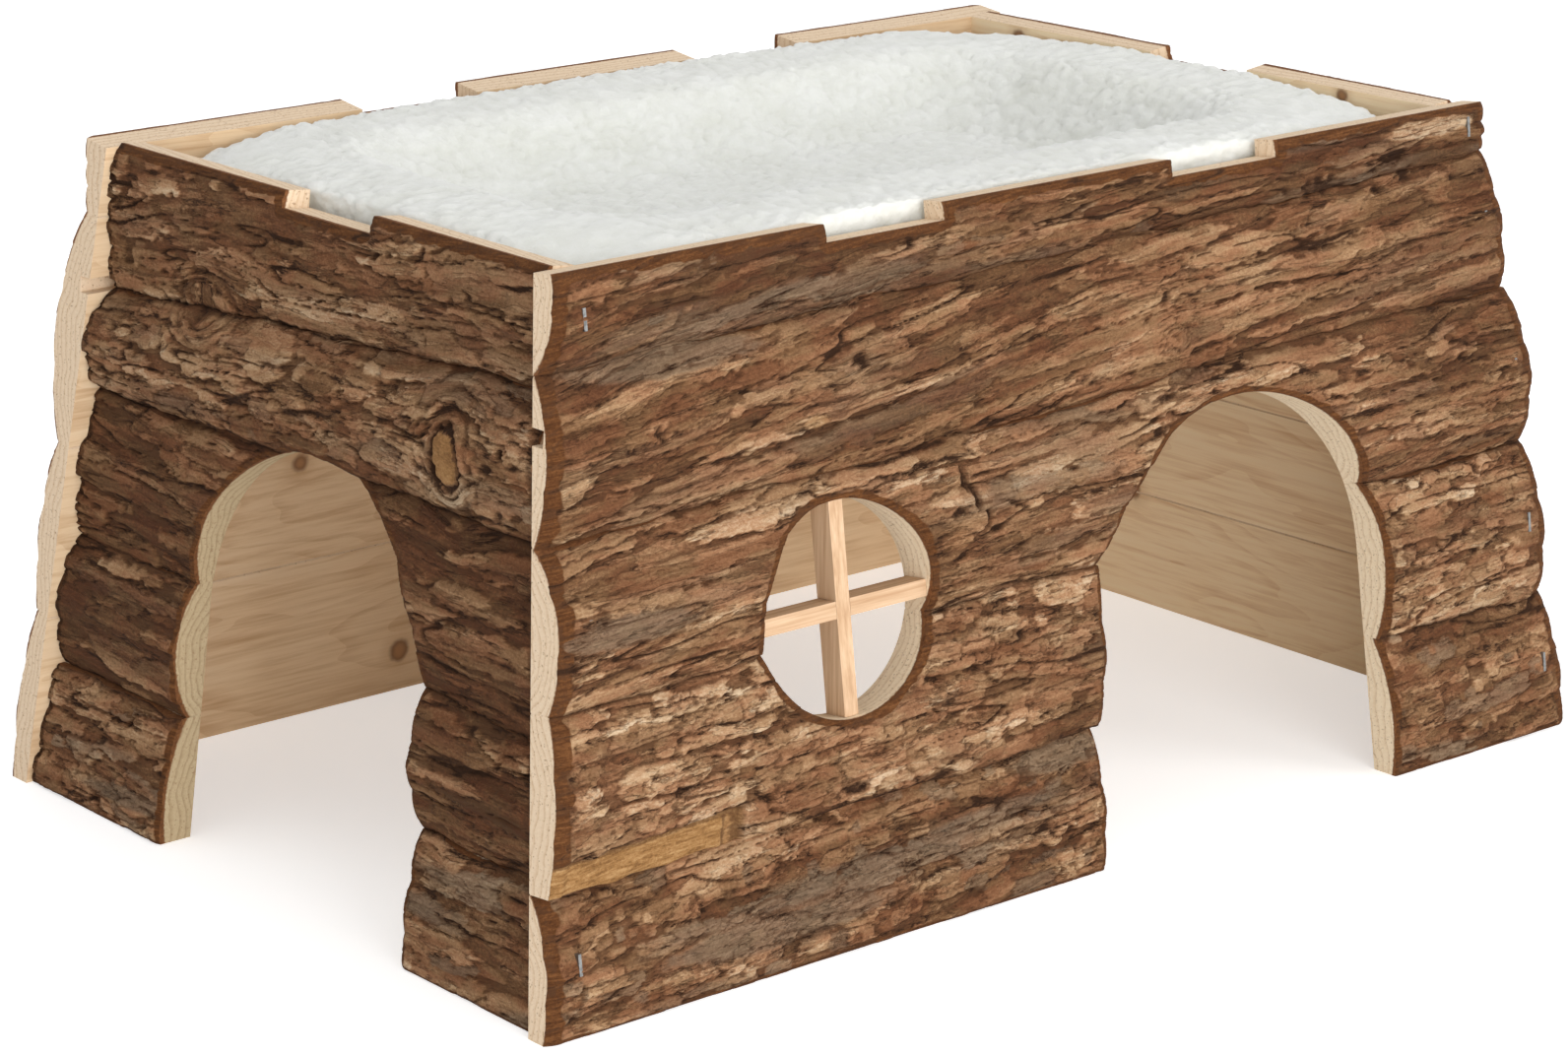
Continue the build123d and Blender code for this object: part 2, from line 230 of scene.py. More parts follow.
def value_noise(x, y, seed):
    """Smooth seeded noise between -1 and 1."""
    table = np.random.default_rng(seed).random((256, 256)) * 2 - 1
    xi, yi = np.floor(x).astype(int), np.floor(y).astype(int)
    fx, fy = smooth(x - xi, 0, 1), smooth(y - yi, 0, 1)
    a, b = table[xi & 255, yi & 255], table[(xi + 1) & 255, yi & 255]
    c, d = table[xi & 255, (yi + 1) & 255], table[(xi + 1) & 255, (yi + 1) & 255]
    return (a + (b - a) * fx) * (1 - fy) + (c + (d - c) * fx) * fy


def fractal(x, y, seed, octaves=3):
    total, size, whole = 0.0, 1.0, 0.0
    for k in range(octaves):
        total = total + size * value_noise(x * 2**k + 17.3 * k, y * 2**k + 9.1 * k, seed + k)
        whole += size
        size *= 0.55
    return total / whole


# Bark


def cut_distances(wall, u, v, w):
    """Distance in millimetres to each kind of cut edge of a wall, positive in the wood."""
    z = v * cos(lean) + w * sin(lean)
    distances = {"floor": z}
    top = wall_rise - v
    for middle in wall.notches:
        beside = np.abs(u - middle) - notch_width / 2
        below = np.hypot(np.maximum(beside, 0), top - notch_depth)
        level = np.maximum(beside, 0) + np.where(beside < 0, top - notch_depth, 0)
        top = np.minimum(top, np.where(top > notch_depth, below, level))
    distances["top"] = top
    if wall.long:
        distances["end"] = wall.half - wall.end_inset(v, w) - np.abs(u)
    if wall.arch is not None:
        side = np.abs(u - wall.arch) - arch_radius - arch_foot_spread * np.clip(1 - v / arch_spring, 0, 1)
        crown = np.hypot(u - wall.arch, v - arch_spring) - arch_radius
        distances["arch"] = np.where(v < arch_spring, side, crown)
    if wall.window is not None:
        distances["window"] = np.hypot(u - wall.window[0], v - wall.window[1]) - window_radius
    return distances


# How far a cut frays the bark, and how deep, in millimetres
fray_bands = {
    "floor": (1.2, 0.4), "top": (3.4, 0.8), "end": (5.0, 1.8), "arch": (2.2, 0.8), "window": (2.6, 0.8),
}

# Length, width and thickness of bark flakes in millimetres, and how often each kind covers a slab
flake_kinds = (
    ((45, 150), (4.5, 10.5), (0.6, 1.3), 1.3),
    ((16, 52), (2.8, 6.5), (0.4, 1.0), 0.45),
    ((6, 16), (2.0, 4.0), (0.3, 0.7), 0.06),
)

# Marks in the bark, placed along and up their wall in millimetres: those of the front and left wall are in
# the photograph, those of the rear and right wall are made up
# Knots: place, reach along and up, and whether the branch was sawn off or grown over
knots = {
    "front": ((40.0, 146.7, 2.2, 1.8, "grown"),),
    "left": ((71.6, 140.9, 5.4, 7.4, "sawn"), (-55.0, 158.8, 7.0, 5.0, "grown")),
    "rear": ((88.0, 120.0, 6.0, 5.0, "grown"),),
    "right": ((-40.0, 108.0, 6.0, 5.0, "grown"),),
}
# Plates: place, reach along and up, how light and how grey they are, and how much they show bare wood
plates = {
    "front": (
        (150.0, 193.2, 21.0, 3.0, 1.2, 0.30, 0.05), (128.4, 171.5, 9.0, 5.0, 0.12, 0.0, 0.0),
        (-140.0, 170.0, 32.0, 4.5, 0.35, 0.9, 0.0), (-165.0, 104.0, 22.0, 4.5, 0.25, 0.9, 0.0),
        (-14.0, 36.0, 17.0, 4.5, 0.4, 0.95, 0.0), (-120.0, 12.0, 40.0, 5.0, 0.35, 0.9, 0.0),
        (-93.0, 145.4, 4.5, 1.7, 0.8, 0.0, 0.35), (-34.0, 116.0, 5.0, 4.0, 0.35, 0.7, 0.0),
        (-52.0, 106.0, 6.0, 3.0, 0.6, 0.0, 0.12),
    ),
}
# Shades: place, reach along and up, how much lighter the bark gets
shades = {
    "front": (
        (165.0, 122.0, 32.0, 26.0, -0.40), (140.0, 180.0, 40.0, 14.0, -0.10),
        (-150.0, 186.0, 45.0, 9.0, -0.10),
    ),
}
# Pits: place, reach along and up, depth
pits = {
    "front": (
        (-47.5, 127.5, 3.6, 1.6, 1.4), (-45.0, 122.0, 1.3, 4.6, 1.8), (-43.0, 116.0, 1.5, 4.2, 1.8),
        (-40.0, 110.5, 1.5, 3.0, 1.5), (-36.5, 107.0, 2.6, 1.4, 1.2), (-50.0, 114.0, 3.0, 1.2, 1.0),
        (106.0, 181.5, 9.0, 3.6, 1.2), (136.0, 186.5, 7.0, 4.0, 1.0), (141.0, 181.0, 5.0, 2.6, 1.2),
        (128.5, 177.5, 3.0, 1.8, 1.4), (-75.9, 159.9, 3.2, 2.2, 1.3), (-91.0, 44.5, 6.0, 2.6, 1.0),
    ),
    "left": ((95.2, 147.2, 1.6, 1.4, 2.0), (88.0, 141.5, 4.0, 2.0, 1.2), (92.0, 130.0, 3.0, 2.0, 1.0)),
}
# Staples that lie open, by slab from the floor up and by end, and how far they all stand out from the inner
# foot of the short walls; bark covers the others
open_staples = {"front": ((0, -1), (0, 1), (1, 1), (4, -1), (4, 1)), "rear": ((0, -1), (1, 1), (3, 1))}
staple_set = 4.0

# How far a slab's mesh runs past the floor and the top before it is cut, and the least that is left of it
cut_spare = 1.5
thinnest = 0.9
joint_seed = 900


def joint_wave(u, wall, joint):
    """How far the edge of the bark wanders from a straight joint."""
    seed = joint_seed + 10 * walls.index(wall) + joint
    return 1.3 * value_noise(u / 23, 0 * u, seed) + 0.6 * value_noise(u / 6, 0 * u, seed + 500)


def blur(field, reach):
    """Mean of a field over reach cells each way along both axes."""
    for axis in (0, 1):
        padded = np.pad(field, [(reach + 1, reach) if k == axis else (0, 0) for k in (0, 1)], mode="edge")
        total = np.cumsum(padded, axis)
        size = field.shape[axis]
        high = np.take(total, np.arange(2 * reach + 1, 2 * reach + 1 + size), axis)
        field = (high - np.take(total, np.arange(size), axis)) / (2 * reach + 1)
    return field


def circle_through(a, b, c):
    """Centre and radius of the circles through three points, each given as rows of v and w."""
    d = 2 * (a[0] * (b[1] - c[1]) + b[0] * (c[1] - a[1]) + c[0] * (a[1] - b[1]))
    a2, b2, c2 = ((point**2).sum(0) for point in (a, b, c))
    v = (a2 * (b[1] - c[1]) + b2 * (c[1] - a[1]) + c2 * (a[1] - b[1])) / d
    w = (a2 * (c[0] - b[0]) + b2 * (a[0] - c[0]) + c2 * (b[0] - a[0])) / d
    return v, w, np.hypot(a[0] - v, a[1] - w)


class Slab:
    """One slab's outer face as fields over (u, v): height of the bark and what colours it."""

    def __init__(self, wall, row, seed):
        self.wall, self.row = wall, row
        *self.slopes, self.flake_share, self.cover, self.light, self.grey, self.joint_dark = wall.habit[row]
        step_u, step_v = wall.step
        reach = wall.half + 1.0
        self.u = np.linspace(-reach, reach, int(2 * reach / step_u) + 1)
        share = (self.u + wall.half) / (2 * wall.half)
        top_row = row + 1 == len(wall.slabs)
        low, high = wall.joints[row], wall.joints[row + 1]
        self.section_low = (low[0] + (low[1] - low[0]) * share) * slope_height
        self.section_high = (high[0] + (high[1] - high[0]) * share) * slope_height
        self.straight_low = self.section_low if row else self.section_low + section_overrun - cut_spare
        self.straight_high = self.section_high + top_row * cut_spare
        self.low = self.straight_low + (row > 0) * joint_wave(self.u, wall, row)
        self.high = self.straight_high + (not top_row) * joint_wave(self.u, wall, row + 1)
        count = int(np.max(self.high - self.low) / step_v) + 1
        self.t = np.linspace(0, 1, count)
        self.U = np.repeat(self.u[:, None], count, 1)
        self.V = self.low[:, None] + (self.high - self.low)[:, None] * self.t
        self.arc = self.back(share)
        self.grow(np.random.default_rng(seed), seed)

    def back(self, share):
        """The slab's round outside without bark: three swellings with two furrows between them."""
        left, right = (np.array(end)[:, None] * slab_thickness for end in self.wall.slabs[self.row])
        foot_out, crown_out, top_out = left + (right - left) * share
        top = np.array([self.section_high, top_out])
        foot = np.array([self.section_low, foot_out])
        crown = np.array([(self.section_low + self.section_high) / 2, crown_out])
        self.axis_v, self.axis_w, self.radius = circle_through(top, crown, foot)
        start = np.arctan2(top[1] - self.axis_w, top[0] - self.axis_v)
        turn = np.arctan2(foot[1] - self.axis_w, foot[0] - self.axis_v) - start

        def at(way):
            angle = start + way * turn
            v = self.axis_v + self.radius * np.cos(angle)
            return np.array([v, self.axis_w + self.radius * np.sin(angle)])

        first, second = (a + (b - a) * share for a, b in furrow_shares[self.row])
        sink = np.array([[0.0], [furrow_depth]])
        upper, lower = at(first) - sink, at(second) - sink
        faces = []
        bows = ((top, at(first / 2), upper), (upper, crown, lower), (lower, at((second + 1) / 2), foot))
        for points in bows:
            axis_v, axis_w, radius = (part[:, None] for part in circle_through(*points))
            faces.append(axis_w + np.sqrt(np.maximum(radius**2 - (self.V - axis_v) ** 2, 0)))
        below = np.where(self.V > lower[0][:, None], faces[1], faces[2])
        return np.where(self.V > upper[0][:, None], faces[0], below)

    def apart(self, u, v, reach_u, reach_v):
        """Distance from a place on the wall, counted in its reach along and up."""
        return np.hypot((self.U - u) / reach_u, (self.V - v) / reach_v)

    def flow(self, seed):
        """Coordinates along and across the fibres, which wander, and part round knots."""
        a, b = self.U, self.V - (self.straight_low + self.straight_high)[:, None] / 2
        left_slope, right_slope = self.slopes
        bend = (right_slope - left_slope) / (4 * self.wall.half)
        across = b - (left_slope + right_slope) / 2 * a - bend * a**2
        for *place, _ in knots.get(self.wall.name, ()):
            across = across - (self.V - place[1]) / np.maximum(self.apart(*place) ** 2 / 1.6, 1)
        across = across + 3.0 * fractal(a / 90, b / 34, seed + 1) + 1.0 * fractal(a / 20, b / 9, seed + 5)
        split = 3.5 * self.flake_share**2 * value_noise(a / 12, across / 1.2, seed + 12)
        along = a + 3.0 * fractal(a / 30, b / 12, seed + 9) + split
        return a, b, along, across

    def grow(self, rng, seed):
        """Lay flakes of bark over each other, then crack, mark and fray them."""
        a, b, self.along, self.across = self.flow(seed)
        across = self.across
        self.ragged = 0.75 * (value_noise(a / 2.4, b / 1.3, seed + 13) + value_noise(a / 7, b / 3, seed + 14))
        self.patch = smooth(fractal(a / 70, across / 9, seed + 17), 0.1, 0.55)
        self.streak = 0.5 + 0.5 * fractal(a / 60, across / 4.5, seed + 19)
        # How dark each flake's outline gets: a crack all round, and a painted shadow below its lower edge
        self.crack_and_shadow = smooth(fractal(a / 24, b / 7, seed + 20), -0.5, 0.2)
        self.height = 0.35 * fractal(a / 12, across / 1.6, seed + 21)
        self.tone = 0.28 + 0.24 * fractal(a / 20, across / 1.3, seed + 25)
        self.weather, self.bare, self.plate = np.zeros((3, *a.shape))
        # Rim darkens the bark where it is low: for dark cracks, joints and glue, and for painted shade in
        # hollows, pits, corners and under flake edges
        self.rim = np.full(a.shape, 0.7)
        area = np.ptp(self.u) * np.mean(self.high - self.low)
        for length, width, thick, cover in flake_kinds:
            length = np.array(length) * self.flake_share
            for _ in range(int(cover * self.cover * area / (0.75 * np.mean(length) * np.mean(width)))):
                self.flake(rng, length, width, thick)
        crack = np.abs(fractal(a / 60, across / 5.0, seed + 29, 2))
        lines = np.maximum(smooth(crack, 0.01, 0.05), smooth(fractal(a / 26, b / 9, seed + 33), -0.1, 0.25))
        fibre = np.abs(fractal(a / 40, across / 1.6, seed + 35, 2))
        fibres = np.maximum(smooth(fibre, 0.0, 0.10), smooth(fractal(a / 18, b / 5, seed + 36), -0.2, 0.3))
        self.height -= 0.9 * (1 - lines) + 0.3 * (1 - fibres)
        self.rim *= (0.15 + 0.85 * lines) * (0.6 + 0.4 * fibres)
        self.seams()
        self.height += 0.8 * fractal(a / 50, b / 25, seed + 37) + 0.12 * fractal(a / 6, b / 0.9, seed + 41)
        self.height -= 0.7
        self.marks()
        # Painted shade and light: hollows of the relief are darkened and its ridges lightened in the bark's
        # colour
        relief_shade = np.clip(self.height - blur(blur(self.height, 3), 3), -1, 1)
        self.tone += 0.3 * relief_shade + self.light
        self.rim *= 0.5 + 0.5 * smooth(relief_shade, -0.5, 0.0)
        self.fray(seed)
        self.surface = np.maximum(self.arc + self.height, thinnest)
        if self.wall.long:
            groove_out = (groove_half_span - inner_foot_y + self.V * sin(lean)) / cos(lean)
            z = self.V * cos(lean) + groove_out * sin(lean)
            beside = np.abs(z - board_height - board_thickness / 2) < board_thickness / 2 + 1
            self.surface = np.where(beside, np.maximum(self.surface, groove_out + thinnest), self.surface)

    def seams(self):
        """Darken and sink the bark at the joints below and above."""
        below = self.wall.habit[self.row - 1][-1] if self.row else 0.0
        edges = ((self.V - self.low[:, None], below), (self.high[:, None] - self.V, self.joint_dark))
        for distance, dark in edges:
            seam = smooth(distance + 0.6 * self.ragged, -0.3, 1.6)
            self.rim *= 1 - dark * (1 - seam)
            self.height -= 0.6 * dark * (1 - seam)

    def marks(self):
        """Shades, plates, knots and pits, the split-off strip, glue with painted shade in its corner, and
        staples.
        """
        name = self.wall.name
        for *place, light in shades.get(name, ()):
            self.tone += light * bell(self.apart(*place))
        for *place, light, grey, bare in plates.get(name, ()):
            apart = self.apart(*place) + 0.14 * self.ragged
            core = 1 - smooth(apart, 0.8, 1.1)
            self.plate = np.maximum(self.plate, core)
            self.tone += core * (light - self.light - 0.7 * self.tone - 0.12)
            self.weather += core * (grey - self.weather)
            self.bare = np.maximum(self.bare, bare * core)
            self.rim = np.maximum(self.rim, 0.9 * core) * (1 - 0.4 * bell((apart - 1.1) / 0.12))
        for *place, kind in knots.get(name, ()):
            self.knot(self.apart(*place) + 0.12 * self.ragged, kind)
        # Pits are sunk, and darkened inside as painted shade
        for *place, depth in pits.get(name, ()):
            core = 1 - smooth(self.apart(*place) + 0.35 * self.ragged, 0.35, 1.1)
            self.height -= depth * core
            self.rim *= 1 - 0.9 * core
        if name == "front" and self.row == chip_row:
            self.chip()
        # On a short wall the bark is sunk and darkened next to the long wall's inside: dark glue there, and
        # painted shade in the corner
        if not self.wall.long:
            z = self.V * cos(lean) + self.arc * sin(lean)
            glue_and_shade = 1 - smooth(inner_foot_y - z * tan(lean) - np.abs(self.U) + 0.8 * self.ragged, 1.6, 3.4)
            self.height -= 0.5 * glue_and_shade
            self.rim *= 1 - 0.7 * glue_and_shade
        if name in open_staples:
            self.staple_beds(open_staples[name])

    def knot(self, apart, kind):
        """A swelling with ridges round the stump of a branch, which was sawn off or is grown over."""
        self.height += 1.1 * bell(apart / 2.2)
        ridges = bell(apart - 2.0) * np.sin(9.0 * apart)
        self.height += 0.35 * ridges
        # Painted shade darkens the troughs between the ridges
        self.rim *= 1 - 0.4 * np.clip(-ridges, 0, 1)
        if kind == "sawn":
            ring = bell((apart - 1.15) / 0.16)
            disc = 1 - smooth(apart, 0.92, 1.04)
            self.height = self.height * (1 - disc) + disc * 0.9 - 1.6 * ring
            self.bare = np.maximum(self.bare, 0.8 * disc)
            self.rim = np.maximum(self.rim, disc) * (1 - 0.95 * ring)
        else:
            core = 1 - smooth(apart + 0.3 * self.ragged, 0.3, 1.1)
            self.height -= 0.6 * core
            self.rim *= 1 - 0.4 * core
            self.tone -= 0.2 * core

    def staple_beds(self, lying_open):
        """Sink the bark where a staple lies open, and raise it over the others."""
        joints = ((0, 0), *self.wall.joints[1:-1], (1, 1))
        for end, side in ((0, -1), (-1, 1)):
            v = (joints[self.row][end] + joints[self.row + 1][end]) / 2 * slope_height
            u = side * (inner_foot_x + staple_set - v * sin(lean))
            level = 0.25 + 0.3 * self.ragged if (self.row, side) in lying_open else 0.9
            self.height += bell(self.apart(u, v, 3.0, 5.0)) * (level - self.height)

    def chip(self):
        """Bare flat where a strip of the slab split off, with a short end piece of its own."""
        share = (self.U + self.wall.half) / chip_length
        rise, low_out, high_out = (ends[0] + (ends[1] - ends[0]) * share
                                   for ends in (chip_rises, chip_low_outs, chip_high_outs))
        rise = rise + 0.5 * self.ragged
        up = self.V - self.section_low[:, None]
        fibres = 0.3 * value_noise(self.U / 14, self.V / 0.9, chip_seed)
        flat = low_out + (high_out - low_out) * up / rise + fibres - self.arc
        strip = smooth(rise - up, -0.2, 0.4) * smooth(1 - share, 0.0, 0.012)
        break_line = bell((share - chip_break) / 0.006)
        self.height = self.height * (1 - strip) + strip * (np.minimum(flat, 0.2) - 0.8 * break_line)
        self.bare = np.maximum(self.bare, strip * np.where(share > chip_break, 0.7, 1.0))
        shadow = bell((rise - up) / 0.7) * (share < 1.03) * (1 - strip)
        self.rim = np.maximum(self.rim, strip * (1 - 0.7 * break_line)) * (1 - 0.6 * shadow)

    def flake(self, rng, length, width, thick):
        """Paint one flake with a ragged outline over what lies there."""
        half_l, half_w = rng.uniform(*length) / 2, rng.uniform(*width) / 2
        i, j = rng.integers(len(self.u)), rng.integers(len(self.t))
        lift, tone, grey, tilt = rng.uniform(*thick), rng.random(), rng.random(), rng.uniform(-0.1, 0.7)
        step_u = self.u[1] - self.u[0]
        step_v = (self.high[i] - self.low[i]) / (len(self.t) - 1)
        di = int((half_l + 9) / step_u)
        dj = int((half_w + 5 + max(abs(slope) for slope in self.slopes) * half_l) / step_v)
        box = np.s_[max(i - di, 0): i + di + 1, max(j - dj, 0): j + dj + 1]
        da = (self.along[box] - self.along[i, j]) / half_l
        db = (self.across[box] - self.across[i, j]) / half_w
        square = 2 if self.flake_share > 0.45 else 3.2
        edge = (1 - np.sqrt(da**4 + np.abs(db)**square)) * half_w + self.ragged[box]
        inside = edge > 0
        if not inside.any():
            return
        under = np.percentile(self.height[box][inside], 35)
        height = 0.55 * under + lift * (np.clip(edge / 0.6, 0, 1) - tilt * np.clip(db, -1, 1))
        shade = self.streak[box] + 0.5 * (tone - 0.5)
        spots = 1.6 * self.patch[box] * (0.55 + 0.45 * grey) + 0.8 * (grey > 0.85)
        weather = np.clip(self.grey * spots, 0, 1)
        for field, value in ((self.height, height), (self.tone, shade), (self.weather, weather)):
            field[box] = np.where(inside, value, field[box])
        # The bark round a flake is darkened as a crack, and more below its lower edge as a painted shadow;
        # the flake's own edge darkens a little too
        below = np.clip(-db, 0, 1)
        dark = self.crack_and_shadow[box] * (0.35 + 0.65 * below)
        gap = np.clip(-edge / (0.4 + 0.5 * below), 0, 1)
        inner = 1 - 0.45 * dark * (1 - np.clip(edge / 0.6, 0, 1))
        outer = np.minimum(self.rim[box], 1 - dark * (1 - gap))
        self.rim[box] = np.where(inside, inner, outer)
        self.height[box] -= np.where(inside, 0, 0.35 * dark * (1 - gap))

    def fray(self, seed):
        """Wear the bark down towards sawn edges, down to its rusty inside."""
        a, b = self.U, self.V
        rough = 1 + 0.5 * fractal(a / 4, b / 4, seed + 45)
        self.raw = np.zeros(a.shape)
        for kind, distance in cut_distances(self.wall, a, b, self.arc).items():
            band, depth = fray_bands[kind]
            near = 1 - smooth(distance / (band * rough), 0.55, 1.05)
            self.raw = np.maximum(self.raw, near * (1 - self.plate))
            self.height = self.height * (1 - 0.7 * near) - depth * np.clip(1 - distance / band, 0, 1) ** 2

    def sample(self, field, u, v):
        """A field at any (u, v), read between its grid points."""
        x = np.clip((u - self.u[0]) / (self.u[1] - self.u[0]), 0, len(self.u) - 1.001)
        low = np.interp(u, self.u, self.low)
        high = np.interp(u, self.u, self.high)
        y = np.clip((v - low) / (high - low) * (len(self.t) - 1), 0, len(self.t) - 1.001)
        i, j = x.astype(int), y.astype(int)
        fx, fy = x - i, y - j
        return ((field[i, j] * (1 - fx) + field[i + 1, j] * fx) * (1 - fy)
                + (field[i, j + 1] * (1 - fx) + field[i + 1, j + 1] * fx) * fy)


# Meshes


def mesh_object(name, points, faces, indices=None):
    mesh = bpy.data.meshes.new(name)
    mesh.from_pydata(points, [], faces)
    if indices is not None:
        mesh.polygons.foreach_set("material_index", indices)
    mesh.update()
    piece = bpy.data.objects.new(name, mesh)
    bpy.context.collection.objects.link(piece)
    return piece


# Numbers of a slab's materials, and the chamfer at its joints in millimetres
bark_face, planed_face, sawn_face, routed_face = 0, 1, 2, 3
joint_chamfer = 0.35


def slab_block(slab, name):
    """Closed block under one slab's bark, flat inside, with a small chamfer at its joints."""
    nu, nv = slab.U.shape
    outer = slab.wall.world(slab.U, slab.V, slab.surface).reshape(-1, 3)
    sides = []
    for v, sign in ((slab.straight_low, 1), (slab.straight_high, -1)):
        u = slab.u
        sides.append(slab.wall.world(u, v, joint_chamfer + 0 * u))
        sides.append(slab.wall.world(u, v + sign * joint_chamfer, 0 * u))
    points = np.concatenate([outer, *sides])
    grid = np.arange(nu * nv).reshape(nu, nv)
    low_side, low_flat, high_side, high_flat = (nu * nv + k * nu + np.arange(nu) for k in range(4))

    def strip(first, second):
        return np.stack([first[:-1], first[1:], second[1:], second[:-1]], -1)

    quads = np.stack([grid[:-1, :-1], grid[1:, :-1], grid[1:, 1:], grid[:-1, 1:]], -1).reshape(-1, 4)
    skirt = np.concatenate([
        strip(low_side, grid[:, 0]), strip(low_flat, low_side),
        strip(grid[:, -1], high_side), strip(high_side, high_flat),
    ])
    flat = strip(high_flat, low_flat)
    caps = [
        [*grid[0, :], high_side[0], high_flat[0], low_flat[0], low_side[0]],
        [*grid[-1, ::-1], low_side[-1], low_flat[-1], high_flat[-1], high_side[-1]],
    ]
    groups = ((bark_face, quads.tolist()), (sawn_face, skirt.tolist()), (planed_face, flat.tolist()),
              (sawn_face, caps))
    faces = [face for _, group in groups for face in group]
    indices = [kind for kind, group in groups for _ in group]
    return mesh_object(name, points, faces, indices)


def prism(name, outline, wall, low, high, face):
    """Cutter: an outline in a wall's (u, v), from low to high along the wall's outward axis."""
    n = len(outline)
    u, v = np.array(outline).T
    points = np.concatenate([wall.world(u, v, low + 0 * u), wall.world(u, v, high + 0 * u)])
    faces = [[i, (i + 1) % n, n + (i + 1) % n, n + i] for i in range(n)]
    faces += [list(range(n))[::-1], list(range(n, 2 * n))]
    return mesh_object(name, points, faces, [face] * len(faces))


def block(name, low, high, turn=None):
    """Cutter: a box between two corners in millimetres, turned if asked."""
    corners = [Vector(corner) * mm for corner in product(*zip(low, high))]
    if turn is not None:
        corners = [turn @ corner for corner in corners]
    faces = [[0, 1, 3, 2], [4, 6, 7, 5], [0, 4, 5, 1], [2, 3, 7, 6], [0, 2, 6, 4], [1, 5, 7, 3]]
    return mesh_object(name, [tuple(c) for c in corners], faces, [sawn_face] * len(faces))


# How far cutters run past what they cut, in millimetres
overrun = 30.0
far = 500.0


def arch_outline(offset):
    angles = np.linspace(0, pi, 97)
    crown = [(offset + arch_radius * cos(t), arch_spring + arch_radius * sin(t)) for t in angles]
    foot = arch_radius + arch_foot_spread
    feet = ((-foot, 0), (-foot, -overrun), (foot, -overrun), (foot, 0))
    return [*crown, *((offset + u, v) for u, v in feet)]


def top_cut(wall, name, left, right, low):
    """Cutter: all of a wall above low, between two places along it, square to the wall."""
    outline = [(left, low), (right, low), (right, low + overrun), (left, low + overrun)]
    return prism(name, outline, wall, -overrun, overrun, sawn_face)


def wall_cutters(wall):
    """Everything that is cut from the slabs of one wall."""
    floor_cut = block("cut_floor", (-far, -far, -overrun), (far, far, 0))
    cutters = [floor_cut, top_cut(wall, "cut_top", -far, far, wall_rise)]
    if wall.long:
        foot, axis = base_length / 2, Vector((1, 0, 0))
    else:
        foot, axis = inner_foot_y, Vector((0, 1, 0))
    for sign in (-1, 1):
        normal = axis * sign * cos(lean) + Vector((0, 0, sin(lean)))
        turn = normal.to_track_quat("Z", "Y").to_matrix().to_4x4()
        turn.translation = axis * sign * foot * mm
        cutters.append(block("cut_end", (-far, -far, 0), (far, far, overrun * 3), turn))
    if wall.arch is not None:
        cutters.append(prism("cut_arch", arch_outline(wall.arch), wall, -overrun, overrun, routed_face))
    if wall.window is not None:
        u, v = wall.window
        angles = np.linspace(0, 2 * pi, 128, endpoint=False)
        ring = [(u + window_radius * cos(t), v + window_radius * sin(t)) for t in angles]
        cutters.append(prism("cut_window", ring, wall, -overrun, overrun, routed_face))
    for middle in wall.notches:
        half = notch_width / 2
        cutters.append(top_cut(wall, "cut_notch", middle - half, middle + half, wall_rise - notch_depth))
    if wall.long:
        cutters.append(block(
            "cut_groove", (-far, -groove_half_span, board_height),
            (far, groove_half_span, board_height + board_thickness + groove_fit)))
    return cutters


def settle(piece):
    """Keep what a piece's modifiers make as its mesh."""
    graph = bpy.context.evaluated_depsgraph_get()
    mesh = bpy.data.meshes.new_from_object(piece.evaluated_get(graph))
    piece.modifiers.clear()
    piece.data = mesh


def carve(piece, cutters):
    """Cut a piece with each cutter, and keep the result as its mesh."""
    for cutter in cutters:
        cut = piece.modifiers.new(cutter.name, "BOOLEAN")
        cut.operation, cut.solver, cut.object = "DIFFERENCE", "MANIFOLD", cutter
    settle(piece)


def part_of(piece, name, keep):
    """A copy of a piece with only the points that keep() accepts."""
    mesh = piece.data.copy()
    shape = bmesh.new()
    shape.from_mesh(mesh)
    bmesh.ops.delete(shape, geom=[p for p in shape.verts if not keep(p.co)], context="VERTS")
    shape.to_mesh(mesh)
    shape.free()
    copy = bpy.data.objects.new(name, mesh)
    bpy.context.collection.objects.link(copy)
    return copy


def points_of(mesh):
    points = np.empty(len(mesh.vertices) * 3)
    mesh.vertices.foreach_get("co", points)
    return points.reshape(-1, 3)


def put_field(mesh, name, values):
    """Keep a number or a vector for each point of a mesh, under a name that materials read."""
    kind, key = ("FLOAT", "value") if values.ndim == 1 else ("FLOAT_VECTOR", "vector")
    layer = mesh.attributes.new(name, kind, "POINT")
    layer.data.foreach_set(key, values.astype(np.float32).ravel())


